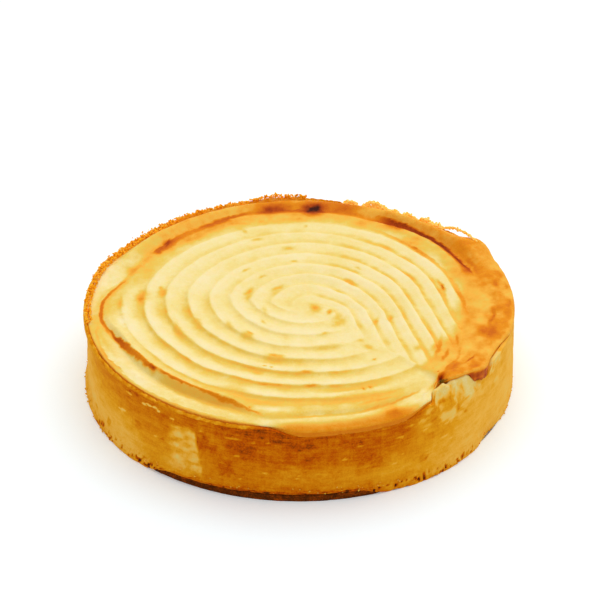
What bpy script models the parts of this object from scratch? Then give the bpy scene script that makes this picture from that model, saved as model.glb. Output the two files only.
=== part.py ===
"""Baked cheesecake, 26 cm across: a shortcrust base, a shortcrust wall and one solid cheese filling.

The filling's top was drawn into a spiral with a comb. Its edge stands up in a rim, which hangs over
the wall at the front and on the right, and leaves the wall's thin top bare at the back and the left.

Sizes are in millimetres and angles in degrees, anticlockwise from +X, until a mesh is written.
"""

import bpy
import numpy as np

MM = 0.001

# Driving sizes
RIM_RADIUS = 129.9        # outside of the pastry wall at its top
FOOT_RADIUS = 130.7       # outside of the pastry wall at its foot
WALL_TOP = 50.6           # height of the pastry wall
WALL_THICK = 4.5          # pastry wall at its foot
RIM_THICK = 2.5           # pastry wall at its top
RIM_CREST = 1.2           # how far the wall's bare top is rounded up above its two corners
BASE_THICK = 4.2          # pastry base
LIP_THICK = 0.8           # least thickness of the lip
LEAN_START = 43.0         # height above which the wall may lean inwards
WAIST_HEIGHT = 12.0       # height above which the wall's face is steep
PLATEAU = 52.6            # middle of the combed top
PLATEAU_FALL = 1.1        # how much lower the combed top is near its edge
GAP = 0.3                 # between one piece and the next

# Turned meshes
STEPS = 80                # faces round the cake
COMB_RINGS = 36           # rings of the combed top
CLIFF_RINGS = 3           # rings between the rim's inner ridge and its crease
ROLL_RINGS = 4            # rings between the crease and the lip

# The comb: its spiral turns about this point, and ends in a seam on this ray
COMB_CENTRE = (6.0, -6.0)
SEAM_ANGLE = -44.0
STRAIGHT_ANGLE = 15.0     # from here to the seam the comb was drawn straight
COMB_DEPTH = 1.6
CREST_SHARE = 0.76        # share of a groove's spacing that rises to its crest
# Along the spiral: angle, radius of the innermost groove, spacing of the grooves
COMB_SPACING = (
    (-44, 25.1, 9.6), (-5, 25.1, 9.6), (20, 20, 10.5), (45, 15.8, 11.3), (90, 16, 12.4), (135, 14, 12.8),
    (165, 12.5, 13.1), (185, 3.5, 13.9), (210, -2.6, 13.7), (240, -5.6, 13.3), (270, -7.5, 13.1), (315, -8, 14),
)

# The line on which the combed top meets the rim
EDGE_LINE = 111.8
EDGE_SHIFTS = ((182, 20, 6.0), (262, 14, 7.0), (290, 30, 4.0))
RIDGE_INSIDE = 1.6        # the rim's inner ridge stands this far inside the line
CREASE_OUTSIDE = 2.8      # and the crease lies this far outside it


def smooth(share):
    """Eases a share from 0 to 1."""
    share = np.clip(share, 0, 1)
    return share * share * (3 - 2 * share)


def turned_from(angle, middle):
    """Angle measured from a middle, between -180 and 180."""
    return (angle - middle + 180) % 360 - 180


def swell(angle, middle, half_width):
    """1 at the middle angle, easing to 0 at half_width on both sides."""
    return smooth(1 - np.abs(turned_from(angle, middle)) / half_width)


def sector(angle, start, end, ease_in, ease_out):
    """1 from start to end, easing to 0 outside them."""
    past = (angle - start + ease_in) % 360 - ease_in
    return smooth(1 + past / ease_in) * smooth(1 + (end - start - past) / ease_out)


def wander(angle, size, turns, phase):
    """A slow uneven wave round the cake, which is nothing at the four quarters."""
    turn = np.radians(angle)
    wave = np.sin(turns * turn + phase) + 0.6 * np.sin((turns * 2 + 1) * turn + 2.1 * phase)
    return size * wave * np.abs(np.sin(2 * turn))


# Stretches of the rim, each as a weight from 0 to 1 round the cake

def back_roll(angle):
    """The smooth roll round the back."""
    return sector(angle, 66, 150, 16, 18)


def worn_back(angle):
    """Where the wall and the filling's edge are lower, round the back."""
    return sector(angle, 50, 146, 10, 16) * (1 - 0.5 * swell(angle, 86, 14))


def left_ridge(angle):
    """The high ridge at the front left, with a gutter outside it."""
    return sector(angle, 206, 246, 22, 13)


def front_drape(angle):
    """The roll that sags over the wall at the front."""
    return sector(angle, 271, 298, 8, 10)


def right_skin(angle):
    """The wide browned skin on the right, which ends at the seam."""
    return sector(angle, SEAM_ANGLE, 52, 3, 18)


def right_crack(angle):
    """The deep split between the combed top and the skin at the back right."""
    return sector(angle, 27, 58, 12, 14)


def corner(angle):
    """The raised corner of the skin beside the seam."""
    return sector(angle, SEAM_ANGLE, -41, 2.5, 14)


def covered(angle):
    """Where the filling hides the top of the wall, from the front to the back right."""
    return sector(angle, 262, 400, 6, 4)


def wall_lean(angle):
    """How far the top of the wall leans in under the skin's corner."""
    return 5.0 * sector(angle, -50.5, -43, 3, 12)


def foot_flare(angle):
    """How far the wall's foot spreads outwards, and where it is cut in at the right."""
    spread = 1.8 * swell(angle, 225, 44) + 2.0 * swell(angle, 306, 34)
    return spread - 3.6 * swell(angle, 331, 9)


def waist(angle):
    """How far the face of the wall is drawn in between its foot and its top, at the left."""
    return 1.9 * sector(angle, 158, 190, 20, 16)


def wall_height(angle):
    """Top of the pastry wall: low under the sagging roll and at the back, high under the skin."""
    dip = sector(angle, 269, 296, 8, 11)
    height = WALL_TOP - 3.9 * dip + 1.9 * sector(angle, -46, 4, 4, 34) + 3.0 * corner(angle)
    height = height - 3.0 * worn_back(angle) - 1.8 * swell(angle, 56, 14)
    height = height - 6.6 * sector(angle, -36, -32, 3.6, 4.4) - 1.4 * sector(angle, 208, 254, 16, 8)
    height = height + 4.2 * sector(angle, -50.5, -47.5, 2.2, 2.5)
    return height + wander(angle, 0.25, 5, 1.0) * (1 - right_skin(angle)) * (1 - dip)


def edge_line(angle):
    further_in = 2.4 * sector(angle, 18, 164, 10, 10) + 2.2 * sector(angle, 70, 164, 25, 10)
    further_out = sum(size * swell(angle, middle, width) for middle, width, size in EDGE_SHIFTS)
    return EDGE_LINE - further_in + further_out


def inner_wall(angle):
    """Inside of the pastry wall at its top."""
    return RIM_RADIUS - RIM_THICK - wall_lean(angle)


def body_radius(angle):
    """Top of the filling's side, which leaves a small air pocket beside the seam."""
    return inner_wall(angle) - GAP - 4.1 * swell(angle, -50, 12)


def lip_radius(angle):
    """Outer edge of the filling's top: inside the wall, or over it where the rim hangs."""
    hang = 2.9 * front_drape(angle) + 3.1 * sector(angle, -44.4, 32, 2.2, 7)
    bulge = 3.2 * sector(angle, 30, 33, 9, 6) + 0.8 * swell(angle, -34, 5)
    return body_radius(angle) + hang + bulge - 3.4 * swell(angle, -24, 12)


def ridge_height(angle):
    return 51.6 + 3.2 * left_ridge(angle) + 1.2 * right_skin(angle) + 1.6 * corner(angle)


def crease_height(angle):
    drop = 1.3 * left_ridge(angle) + 0.5 * front_drape(angle) + 3.2 * right_crack(angle)
    return 50.6 - drop + 2.3 * right_skin(angle) + 2.2 * corner(angle)


def roll_height(angle):
    rise = 2.4 * back_roll(angle) + 0.9 * front_drape(angle) + 3.3 * right_skin(angle)
    return 50.6 + rise + 2.6 * corner(angle) + 0.9 * swell(angle, 38, 24)


def lip_height(angle):
    skin = 2.8 * sector(angle, SEAM_ANGLE, 30, 3, 14) + 3.2 * corner(angle) + 0.8 * swell(angle, 30, 12)
    beside_seam = 1.4 * swell(angle, 308, 14)
    return 50.5 - 1.2 * front_drape(angle) + skin + beside_seam - 3.4 * worn_back(angle)


def underside_height(angle):
    """Lower edge of the lip: just over the flat top of a covered wall, or down inside a bare one."""
    drop = np.where(covered(angle) > 0.5, RIM_CREST - GAP, RIM_CREST + GAP)
    return np.minimum(wall_height(angle) - drop, lip_height(angle) - LIP_THICK)


def groove_spacing(angle):
    """Radius of the innermost groove and the spacing of the grooves, by the angle at the comb's centre."""
    places, inner, spacing = np.array(COMB_SPACING, float).T
    along = np.clip((angle - SEAM_ANGLE) % 360 + SEAM_ANGLE, places[0], places[-1])
    return np.interp(along, places, inner), np.interp(along, places, spacing)


def comb_height(x, y):
    """Ridges of the comb: each rises slowly outwards to its crest and drops to the next groove."""
    from_centre = np.hypot(x - COMB_CENTRE[0], y - COMB_CENTRE[1])
    angle = np.degrees(np.arctan2(y - COMB_CENTRE[1], x - COMB_CENTRE[0]))
    angle = (angle - SEAM_ANGLE) % 360 + SEAM_ANGLE
    inner, spacing = groove_spacing(angle)
    straight = np.cos(np.radians(np.minimum(angle, STRAIGHT_ANGLE) - STRAIGHT_ANGLE))
    place = ((from_centre * straight - inner) / spacing) % 1
    rise = smooth(place / CREST_SHARE) * smooth((1 - place) / (1 - CREST_SHARE))
    faint_back = 1 - 0.65 * sector(angle, 80, 140, 35, 30) * smooth((from_centre - 50) / 25)
    middle = smooth((from_centre - 4) / 16)
    return COMB_DEPTH * (rise - 0.5) * faint_back * middle


def filling_height(angle, radius):
    """Height of the filling's top, from the middle out to the lip."""
    line = edge_line(angle)
    lip = lip_radius(angle)
    crease = line + CREASE_OUTSIDE
    ridge = line - RIDGE_INSIDE
    x, y = radius * np.cos(np.radians(angle)), radius * np.sin(np.radians(angle))

    combed = PLATEAU - PLATEAU_FALL * (radius / EDGE_LINE) ** 2
    combed = combed + comb_height(x, y) * smooth((ridge - radius) / 14)
    beside_seam = sector(angle, SEAM_ANGLE, -36, 2.5, 40) * smooth((radius - 45) / 60)
    combed = combed + 1.2 * beside_seam
    combed = combed + (ridge_height(angle) - combed) * smooth((radius - ridge + 9) / 9)

    cliff = smooth((radius - ridge) / (crease - ridge))
    up_to_roll = smooth((radius - crease) / (0.5 * (lip - crease)))
    down_to_lip = smooth((radius - crease) / (0.5 * (lip - crease)) - 1)
    height = combed + (crease_height(angle) - combed) * cliff
    height = height + (roll_height(angle) - crease_height(angle)) * up_to_roll
    return height + (lip_height(angle) - roll_height(angle)) * down_to_lip


def spaced(start, end, count):
    """count equal steps from start to end, without the start."""
    return [start + (end - start) * (step + 1) / count for step in range(count)]


def turned(name, profile, closed, shape):
    """Turns a profile into a mesh with a Screw and moves its points by the shape function."""
    outline = bpy.data.meshes.new(name + "_profile")
    edges = [(i, i + 1) for i in range(len(profile) - 1)]
    if closed:
        edges.append((len(profile) - 1, 0))
    outline.from_pydata([(radius * MM, 0, height * MM) for radius, height in profile], edges, [])
    turning = bpy.data.objects.new(name + "_turning", outline)
    bpy.context.scene.collection.objects.link(turning)
    screw = turning.modifiers.new("Screw", "SCREW")
    screw.steps = STEPS
    screw.render_steps = STEPS
    screw.use_merge_vertices = True
    screw.merge_threshold = 0.00001
    mesh = bpy.data.meshes.new_from_object(turning.evaluated_get(bpy.context.evaluated_depsgraph_get()))
    bpy.data.objects.remove(turning)
    bpy.data.meshes.remove(outline)

    points = np.empty(len(mesh.vertices) * 3)
    mesh.vertices.foreach_get("co", points)
    x, y, z = points.reshape(-1, 3).T / MM
    angle = np.degrees(np.arctan2(y, x))
    radius, height = shape(angle, np.hypot(x, y), z)
    turn = np.radians(angle)
    moved = np.stack([radius * np.cos(turn), radius * np.sin(turn), height], axis=1) * MM
    mesh.vertices.foreach_set("co", moved.ravel())
    mesh.shade_smooth()
    mesh.set_sharp_from_angle(angle=np.radians(50))
    mesh.name = name
    return bpy.data.objects.new(name, mesh)


def pastry_base():
    """Round shortcrust base. It stands out to the wall's face only where the wall is lifted off it."""
    inside = FOOT_RADIUS - WALL_THICK - GAP
    profile = [(0, BASE_THICK), (inside, BASE_THICK), (inside, 0), (0, 0)]

    def shape(angle, radius, height):
        bare = 4.4 * sector(angle, 236, 284, 6, 6)
        return radius + np.where(radius > inside - 1, bare, 0), height

    return turned("pastry_base", profile, False, shape)


def pastry_wall():
    """Shortcrust strip that stands round the base, uneven along its top and lifted at the front."""
    shoulder = WALL_TOP - RIM_CREST
    profile = [
        (RIM_RADIUS - RIM_THICK / 2, WALL_TOP),
        (RIM_RADIUS, shoulder),
        (RIM_RADIUS + 0.1, LEAN_START),
        (FOOT_RADIUS - 0.3, WAIST_HEIGHT),
        (FOOT_RADIUS, 0.8),
        (FOOT_RADIUS - 0.4, 0),
        (FOOT_RADIUS - WALL_THICK, 0),
        (RIM_RADIUS - RIM_THICK - 0.3, LEAN_START),
        (RIM_RADIUS - RIM_THICK, shoulder),
    ]

    def shape(angle, radius, height):
        top = height > LEAN_START + 1
        foot = height < 2
        outside = radius > RIM_RADIUS - 0.5
        crest = height > shoulder + 0.1
        capped = height - np.where(crest, RIM_CREST * covered(angle), 0)
        raised = capped + np.where(top, wall_height(angle) - WALL_TOP, 0)
        lifted = raised + np.where(foot, 4.8 * sector(angle, 229, 291, 8, 8), 0)
        bulged = radius + np.where(outside & ~top, wander(angle, 0.35, 3, 0.4), 0)
        drawn_in = np.where(foot, 0, np.where(height < LEAN_START - 1, waist(angle), 0.6 * waist(angle)))
        bulged = bulged + np.where(outside & foot, foot_flare(angle), 0) - np.where(outside & ~top, drawn_in, 0)
        return bulged - np.where(top, wall_lean(angle), 0), lifted

    return turned("pastry_wall", profile, True, shape)


def cheese_filling():
    """The one solid filling, from the base up to its combed top and its rim."""
    ridge, crease = EDGE_LINE - RIDGE_INSIDE, EDGE_LINE + CREASE_OUTSIDE
    lip = RIM_RADIUS - RIM_THICK - GAP
    rings = [0.0] + spaced(0, ridge, COMB_RINGS) + spaced(ridge, crease, CLIFF_RINGS)
    rings += spaced(crease, lip, ROLL_RINGS)
    under, hollow = PLATEAU - 4, PLATEAU - 5
    foot = BASE_THICK + GAP
    side = [(lip, under), (lip, hollow), (lip - 0.3, LEAN_START)]
    floor = [(FOOT_RADIUS - WALL_THICK - GAP, foot), (0, foot)]
    profile = [(ring, PLATEAU) for ring in rings] + side + floor

    def shape(angle, radius, height):
        line, reach = edge_line(angle), lip_radius(angle)
        inner, outer = line - RIDGE_INSIDE, line + CREASE_OUTSIDE
        cliff = (radius - ridge) / (crease - ridge)
        roll = (radius - crease) / (lip - crease)
        spread = np.where(radius <= ridge, radius * inner / ridge, inner + cliff * (outer - inner))
        spread = np.where(radius > crease, outer + roll * (reach - outer), spread)
        on_top = height > PLATEAU - 1
        at_lip = np.abs(height - under) < 0.2
        inside = np.abs(height - hollow) < 0.2
        top = filling_height(angle, spread)
        lowest = underside_height(angle)
        new_height = np.where(on_top, top, np.where(at_lip, lowest, height))
        new_height = np.where(inside, lowest - 0.15, new_height)
        new_radius = np.where(on_top, spread, np.where(at_lip, reach, radius))
        new_radius = np.where(inside, body_radius(angle), new_radius)
        return new_radius, new_height

    return turned("cheese_filling", profile, False, shape)


def baked(name, colour, roughness):
    """Plain material of a baked piece, with its colour as linear red, green and blue."""
    material = bpy.data.materials.new(name)
    material.use_nodes = True
    shader = material.node_tree.nodes["Principled BSDF"]
    shader.inputs["Base Color"].default_value = (*colour, 1)
    shader.inputs["Roughness"].default_value = roughness
    shader.inputs["Metallic"].default_value = 0
    return material


def main():
    for old in list(bpy.data.objects):
        bpy.data.objects.remove(old)
    cake = bpy.data.collections.new("baked_cheesecake")
    bpy.context.scene.collection.children.link(cake)
    pieces = (
        (pastry_base(), baked("browned_shortcrust_base", (0.16, 0.07, 0.025), 0.7)),
        (pastry_wall(), baked("golden_shortcrust", (0.62, 0.27, 0.05), 0.65)),
        (cheese_filling(), baked("baked_cheese_filling", (0.86, 0.68, 0.3), 0.5)),
    )
    for piece, material in pieces:
        piece.data.materials.append(material)
        cake.objects.link(piece)


main()
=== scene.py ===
"""Looks of a baked cheesecake, 26 cm across, laid out as an add-on and run as a script.

A shortcrust base and wall hold one cheese filling. The top was combed into a spiral before baking. Its
browned edge rolls round the back, stands up at the left, sags over the wall at the front and hangs as a
wide skin on the right, where the comb ended in a seam.

In the shape and colour functions, lengths are millimetres and angles are degrees, anticlockwise from +X.
"""

import bpy
import numpy as np
from mathutils import Matrix, Vector


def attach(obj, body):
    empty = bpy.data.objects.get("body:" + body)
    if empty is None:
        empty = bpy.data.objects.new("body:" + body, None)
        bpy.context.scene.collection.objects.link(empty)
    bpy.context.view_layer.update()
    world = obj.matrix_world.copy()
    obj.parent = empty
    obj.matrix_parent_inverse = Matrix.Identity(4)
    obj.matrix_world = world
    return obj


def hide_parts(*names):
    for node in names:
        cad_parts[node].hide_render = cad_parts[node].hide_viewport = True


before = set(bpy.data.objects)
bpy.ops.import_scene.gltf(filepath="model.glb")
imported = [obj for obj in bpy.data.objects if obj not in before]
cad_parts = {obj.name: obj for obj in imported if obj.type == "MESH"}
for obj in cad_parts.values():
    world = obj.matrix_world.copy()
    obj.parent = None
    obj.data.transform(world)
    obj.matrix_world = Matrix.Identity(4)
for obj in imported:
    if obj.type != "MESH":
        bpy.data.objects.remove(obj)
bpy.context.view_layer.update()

bl_info = {
    "name": "Baked cheesecake",
    "version": (1, 0, 0),
    "blender": (4, 5, 0),
    "location": "3D View > Sidebar > Cheesecake",
    "description": "Models and finishes a combed baked cheesecake in a shortcrust case",
    "category": "Object",
}

MM = 0.001

# Driving sizes, as in the construction
RIM_RADIUS = 129.9        # outside of the pastry wall at its top
FOOT_RADIUS = 130.7       # outside of the pastry wall at its foot
WALL_TOP = 50.6           # height of the pastry wall
WALL_THICK = 4.5          # pastry wall at its foot
RIM_THICK = 2.5           # pastry wall at its top
RIM_CREST = 1.2           # how far the wall's bare top is rounded up above its two corners
BASE_THICK = 4.2          # pastry base
LIP_THICK = 0.8           # least thickness of the lip
LEAN_START = 43.0         # height above which the wall may lean inwards
PLATEAU = 52.6            # middle of the combed top
PLATEAU_FALL = 1.1        # how much lower the combed top is near its edge
GAP = 0.3                 # between one piece and the next
BASE_SHOWS = 4.8          # how far the wall is lifted off the base's dark edge at the front
BASE_SPREAD = 4.6         # how far the base comes out there, under the wall
OVERHANG = 0.55           # how far a bare edge of the filling spreads towards the wall
ROUNDING = 1.8            # width of the rounded edge of the lip
LIP_MARK = PLATEAU - 4    # ring of the spun profile that becomes the lip's lower edge
TUCK_MARK = PLATEAU - 5   # and the one that is tucked in below it

# The comb's spiral turns about this point, and ends in a seam on this ray
COMB_CENTRE = (6.0, -6.0)
SEAM_ANGLE = -44.0
STRAIGHT_ANGLE = 15.0     # from here to the seam the comb was drawn straight
SEAM_STEP = 1.2           # how far the skin's side of the seam stands above the other
CREST_SHARE = 0.76        # share of a groove's spacing that rises to its crest
# Along the spiral: angle, radius of the innermost groove, spacing of the grooves
COMB_SPACING = (
    (-44, 25.1, 9.6), (-5, 25.1, 9.6), (20, 20, 10.5), (45, 15.8, 11.3), (90, 16, 12.4), (135, 14, 12.8),
    (165, 12.5, 13.1), (185, 3.5, 13.9), (210, -2.6, 13.7), (240, -5.6, 13.3), (270, -7.5, 13.1),
    (315, -8, 14),
)

POCKET_ANGLE = -43.4      # where a dark pocket opens at the outer end of the seam

# The line on which the combed top meets the rim
EDGE_LINE = 111.8
EDGE_SHIFTS = ((182, 20, 6.0), (262, 14, 7.0), (290, 30, 4.0))
RIDGE_INSIDE = 1.6        # the rim's inner ridge stands this far inside the line
CREASE_OUTSIDE = 2.8      # and the crease lies this far outside it

# Meshes: coarse steps that a plain subdivision then cuts in four
REFINE_LEVELS = 2
FILLING_STEPS = 120
WALL_STEPS = 200
BASE_STEPS = 90
NOISE_GRID = 48           # cells along each side of the block of random numbers that repeats

# Crumbs
FRINGE_STEP = 0.15        # degrees between one handful of the fringe and the next
HANDFUL = 4
ARCH_STEP = 0.16          # degrees between one crumb of the arch and the next
CLUSTER_DENSITY = 13      # crumbs for each degree and millimetre of a cluster
FOOT_CRUMBS = 260

# Camera
SENSOR_WIDTH = 36         # of a full-frame camera
FAR_END = 50              # metres, well past the edge of the floor


# Weights and noise

def smooth(share):
    """Eases a share from 0 to 1."""
    share = np.clip(share, 0, 1)
    return share * share * (3 - 2 * share)


def turned_from(angle, middle):
    """Angle measured from a middle, between -180 and 180."""
    return (angle - middle + 180) % 360 - 180


def swell(angle, middle, half_width):
    """1 at the middle angle, easing to 0 at half_width on both sides."""
    return smooth(1 - np.abs(turned_from(angle, middle)) / half_width)


def sector(angle, start, end, ease_in, ease_out):
    """1 from start to end, easing to 0 outside them."""
    past = (angle - start + ease_in) % 360 - ease_in
    return smooth(1 + past / ease_in) * smooth(1 + (end - start - past) / ease_out)


def band(value, start, end, ease):
    """1 where a length lies from start to end, easing to 0 outside them."""
    return smooth((value - start + ease) / ease) * smooth((end + ease - value) / ease)


def towards(value, goal, weight):
    """Moves a value towards a goal by a weight from 0 to 1."""
    return value + (goal - value) * weight


def wander(angle, size, turns, phase):
    """A slow uneven wave round the cake, which is nothing at the four quarters."""
    turn = np.radians(angle)
    wave = np.sin(turns * turn + phase) + 0.6 * np.sin((turns * 2 + 1) * turn + 2.1 * phase)
    return size * wave * np.abs(np.sin(2 * turn))


def noise(points, cell, seed):
    """Smooth noise from -1 to 1 whose lumps are about one cell across. A cell may differ by axis."""
    grid = np.random.default_rng(seed).uniform(-1, 1, (NOISE_GRID,) * 3)
    place = points / cell
    low = np.floor(place).astype(int)
    share = smooth(place - low)
    total = np.zeros(len(points))
    for step in np.ndindex(2, 2, 2):
        weight = np.where(step, share, 1 - share).prod(axis=1)
        total += weight * grid[tuple(((low + step) % NOISE_GRID).T)]
    return total


def rough(points, cell, seed):
    """Noise with two finer layers added."""
    cell = np.asarray(cell, float)
    layers = noise(points, cell, seed) + 0.5 * noise(points, cell / 2, seed + 1)
    return layers + 0.25 * noise(points, cell / 4, seed + 2)


# Stretches of the rim, each as a weight from 0 to 1 round the cake

def back_roll(angle):
    """The smooth roll round the back."""
    return sector(angle, 66, 150, 16, 18)


def worn_back(angle):
    """Where the wall and the filling's edge are lower, round the back."""
    return sector(angle, 50, 146, 10, 16) * (1 - 0.5 * swell(angle, 86, 14))


def left_ridge(angle):
    """The high ridge at the front left, with a gutter outside it."""
    return sector(angle, 206, 246, 22, 13)


def front_drape(angle):
    """The roll that sags over the wall at the front."""
    return sector(angle, 271, 298, 8, 10)


def right_skin(angle):
    """The wide browned skin on the right, which ends at the seam."""
    return sector(angle, SEAM_ANGLE, 52, 3, 18)


def right_crack(angle):
    """The deep split between the combed top and the skin at the back right."""
    return sector(angle, 27, 58, 12, 14)


def corner(angle):
    """The raised corner of the skin beside the seam."""
    return sector(angle, SEAM_ANGLE, -41, 2.5, 14)


def covered(angle):
    """Where the filling hides the top of the wall, from the front to the back right."""
    return sector(angle, 262, 400, 6, 4)


def wall_lean(angle):
    """How far the top of the wall leans in under the skin's corner."""
    return 5.0 * sector(angle, -50.5, -43, 3, 12)


def foot_flare(angle):
    """How far the wall's foot spreads outwards, and where it is cut in at the right."""
    spread = 1.8 * swell(angle, 225, 44) + 2.0 * swell(angle, 306, 34)
    return spread - 2.4 * swell(angle, 331, 9)


def waist(angle):
    """How far the face of the wall is drawn in between its foot and its top, at the left."""
    return 1.9 * sector(angle, 158, 190, 20, 16)


def wall_height(angle):
    """Top of the pastry wall: low under the sagging roll and at the back, high under the skin."""
    dip = sector(angle, 269, 296, 8, 11)
    height = WALL_TOP - 3.9 * dip + 1.9 * sector(angle, -46, 4, 4, 34) + 3.0 * corner(angle)
    height = height - 3.0 * worn_back(angle) - 1.8 * swell(angle, 56, 14)
    height = height - 6.6 * sector(angle, -36, -32, 3.6, 4.4) - 1.4 * sector(angle, 208, 254, 16, 8)
    height = height + 4.2 * sector(angle, -50.5, -47.5, 2.2, 2.5)
    return height + wander(angle, 0.25, 5, 1.0) * (1 - right_skin(angle)) * (1 - dip)


def notch(angle):
    """The torn notch in the wall under the skin, just past the corner."""
    return sector(angle, -37.5, -32, 2.4, 2.4)


def edge_line(angle):
    """The line on which the combed top meets the rim."""
    further_in = 2.4 * sector(angle, 18, 164, 10, 10) + 2.2 * sector(angle, 70, 164, 25, 10)
    further_out = sum(size * swell(angle, middle, width) for middle, width, size in EDGE_SHIFTS)
    return EDGE_LINE - further_in + further_out


def inner_wall(angle):
    """Inside of the pastry wall at its top."""
    return RIM_RADIUS - RIM_THICK - wall_lean(angle)


def body_radius(angle):
    """Top of the filling's side, which leaves a small air pocket beside the seam."""
    return inner_wall(angle) - GAP - 3.0 * swell(angle, -46.5, 5)


def lip_radius(angle):
    """Outer edge of the filling's top: inside the wall, or over it where the rim hangs."""
    hang = 2.9 * front_drape(angle) + 3.1 * sector(angle, -44.4, 32, 2.2, 7)
    bulge = 3.2 * sector(angle, 30, 33, 9, 6) + 0.8 * swell(angle, -34, 5)
    return body_radius(angle) + hang + bulge - 3.4 * swell(angle, -24, 12)


def ridge_height(angle):
    """The rim's inner ridge."""
    return 51.6 + 3.2 * left_ridge(angle) + 1.2 * right_skin(angle) + 1.6 * corner(angle)


def crease_height(angle):
    """The crease, or gutter, outside the ridge."""
    drop = 1.3 * left_ridge(angle) + 0.5 * front_drape(angle) + 3.2 * right_crack(angle)
    return 50.6 - drop + 2.3 * right_skin(angle) + 2.2 * corner(angle)


def roll_height(angle):
    """The roll between the crease and the lip."""
    rise = 2.4 * back_roll(angle) + 0.9 * front_drape(angle) + 3.3 * right_skin(angle)
    return 50.6 + rise + 2.6 * corner(angle) + 0.9 * swell(angle, 38, 24)


def lip_height(angle):
    """The outer edge of the filling's top."""
    skin = 2.8 * sector(angle, SEAM_ANGLE, 30, 3, 14) + 3.2 * corner(angle) + 0.8 * swell(angle, 30, 12)
    beside_seam = 1.4 * swell(angle, 308, 14)
    return 50.5 - 1.2 * front_drape(angle) + skin + beside_seam - 3.4 * worn_back(angle)


def underside_height(angle):
    """Lower edge of the lip: just over the flat top of a covered wall, or down inside a bare one."""
    drop = np.where(covered(angle) > 0.5, RIM_CREST - GAP, RIM_CREST + GAP)
    return np.minimum(wall_height(angle) - drop, lip_height(angle) - LIP_THICK)


# The combed top

def comb_lines(points):
    """Where each point lies between two grooves, as a share, then its angle and distance from the centre."""
    stray = 0.55 * noise(points, 19, 11) + 0.3 * noise(points, 6, 12)
    x, y = points[:, 0] - COMB_CENTRE[0], points[:, 1] - COMB_CENTRE[1]
    from_centre = np.hypot(x, y)
    angle = (np.degrees(np.arctan2(y, x)) - SEAM_ANGLE) % 360 + SEAM_ANGLE
    places, first, gaps = np.array(COMB_SPACING, float).T
    along = np.clip(angle, places[0], places[-1])
    inner, spacing = np.interp(along, places, first), np.interp(along, places, gaps)
    straight = np.cos(np.radians(np.minimum(angle, STRAIGHT_ANGLE) - STRAIGHT_ANGLE))
    return (from_centre * straight + stray - inner) / spacing % 1, angle, from_centre


def beside_seam(angle, from_centre):
    """Where the comb's start and end were smoothed over, beside the inner part of the seam."""
    return sector(angle, SEAM_ANGLE, SEAM_ANGLE, 36, 17) * smooth((106 - from_centre) / 32)


def comb_strength(angle, from_centre):
    """The comb bit less at the back, in the very middle and where its start meets the seam."""
    faint_back = 1 - 0.8 * sector(angle, 74, 140, 44, 34) * smooth((from_centre - 34) / 30)
    middle = smooth((from_centre - 4) / 30)
    soft_left = 1 - 0.4 * sector(angle, 140, 190, 20, 20) * smooth((85 - from_centre) / 30)
    soft_front = 1 - 0.45 * sector(angle, 250, 315, 24, 2) * smooth((62 - from_centre) / 25)
    return faint_back * middle * soft_left * soft_front * (1 - 0.9 * beside_seam(angle, from_centre))


def seam_shift(angle, radius):
    """The seam isn't quite a ray: it bends to the front in the middle of the cake and at the rim."""
    bend = 7 * smooth((80 - radius) / 30) + 3 * smooth((radius - 112) / 8)
    return bend * swell(angle, -48, 20)


def filling_height(angle, radius, depth):
    """Height of the filling's top from the middle out to the lip, without its fine relief."""
    line, lip = edge_line(angle), lip_radius(angle)
    crease, ridge = line + CREASE_OUTSIDE, line - RIDGE_INSIDE
    points = cartesian(angle, radius, np.zeros_like(angle))
    place, comb_angle, from_centre = comb_lines(points)
    rise = smooth(place / CREST_SHARE) * smooth((1 - place) / (1 - CREST_SHARE))
    uneven = 1 + 0.3 * noise(points, 16, 13)
    comb = depth * (rise - 0.5) * comb_strength(comb_angle, from_centre) * uneven
    combed = PLATEAU - PLATEAU_FALL * (radius / EDGE_LINE) ** 2 + comb * smooth((ridge - radius) / 14)
    combed = combed + SEAM_STEP * sector(angle, SEAM_ANGLE, -36, 2.5, 40) * smooth((radius - 66) / 42)
    combed = towards(combed, ridge_height(angle), smooth((radius - ridge + 9) / 9))

    cliff = smooth((radius - ridge) / (crease - ridge))
    along_rim = (radius - crease) / (0.5 * (lip - crease))
    height = towards(combed, crease_height(angle), cliff)
    height = height + (roll_height(angle) - crease_height(angle)) * smooth(along_rim)
    return height + (lip_height(angle) - roll_height(angle)) * smooth(along_rim - 1)


def top_relief(points, angle, radius):
    """Fine unevenness of the top: wrinkles in the skin, lumps on the roll, tears in the cream."""
    outside = radius - edge_line(angle)
    skin = right_skin(angle) * smooth((radius - 90) / 16)
    wrinkles = skin * (0.45 * noise(points, (9, 4, 9), 21) + 0.2 * noise(points, 3, 22))
    rim = smooth((outside + 4) / 5)
    lumps = rim * (0.22 * noise(points, 7, 23) + 0.1 * noise(points, 2.4, 24))
    cream = 0.12 * noise(points, 5, 25) + 0.07 * noise(points, 1.7, 26)
    pocket = 3.6 * swell(angle, POCKET_ANGLE, 2.4) * band(radius, 116, 120, 1.6)
    return wrinkles + lumps + cream - pocket


# Colour of the filling: 0 is cream, 0.4 amber, 0.6 orange, 0.8 brown, 1 nearly black

# How toasted the combed top is just inside the rim, by angle
EDGE_TONES = (
    (0, 0.46), (14, 0.42), (24, 0.36), (34, 0.28), (44, 0.38), (56, 0.46), (66, 0.46), (75, 0.47),
    (90, 0.44), (108, 0.47), (120, 0.5), (140, 0.44), (155, 0.38), (166, 0.33), (174, 0.29), (184, 0.25),
    (204, 0.15), (222, 0.24), (246, 0.32), (262, 0.3), (276, 0.24), (290, 0.36), (300, 0.35), (310, 0.18),
    (315, 0.14), (318, 0.34), (330, 0.5), (346, 0.48),
)
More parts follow.
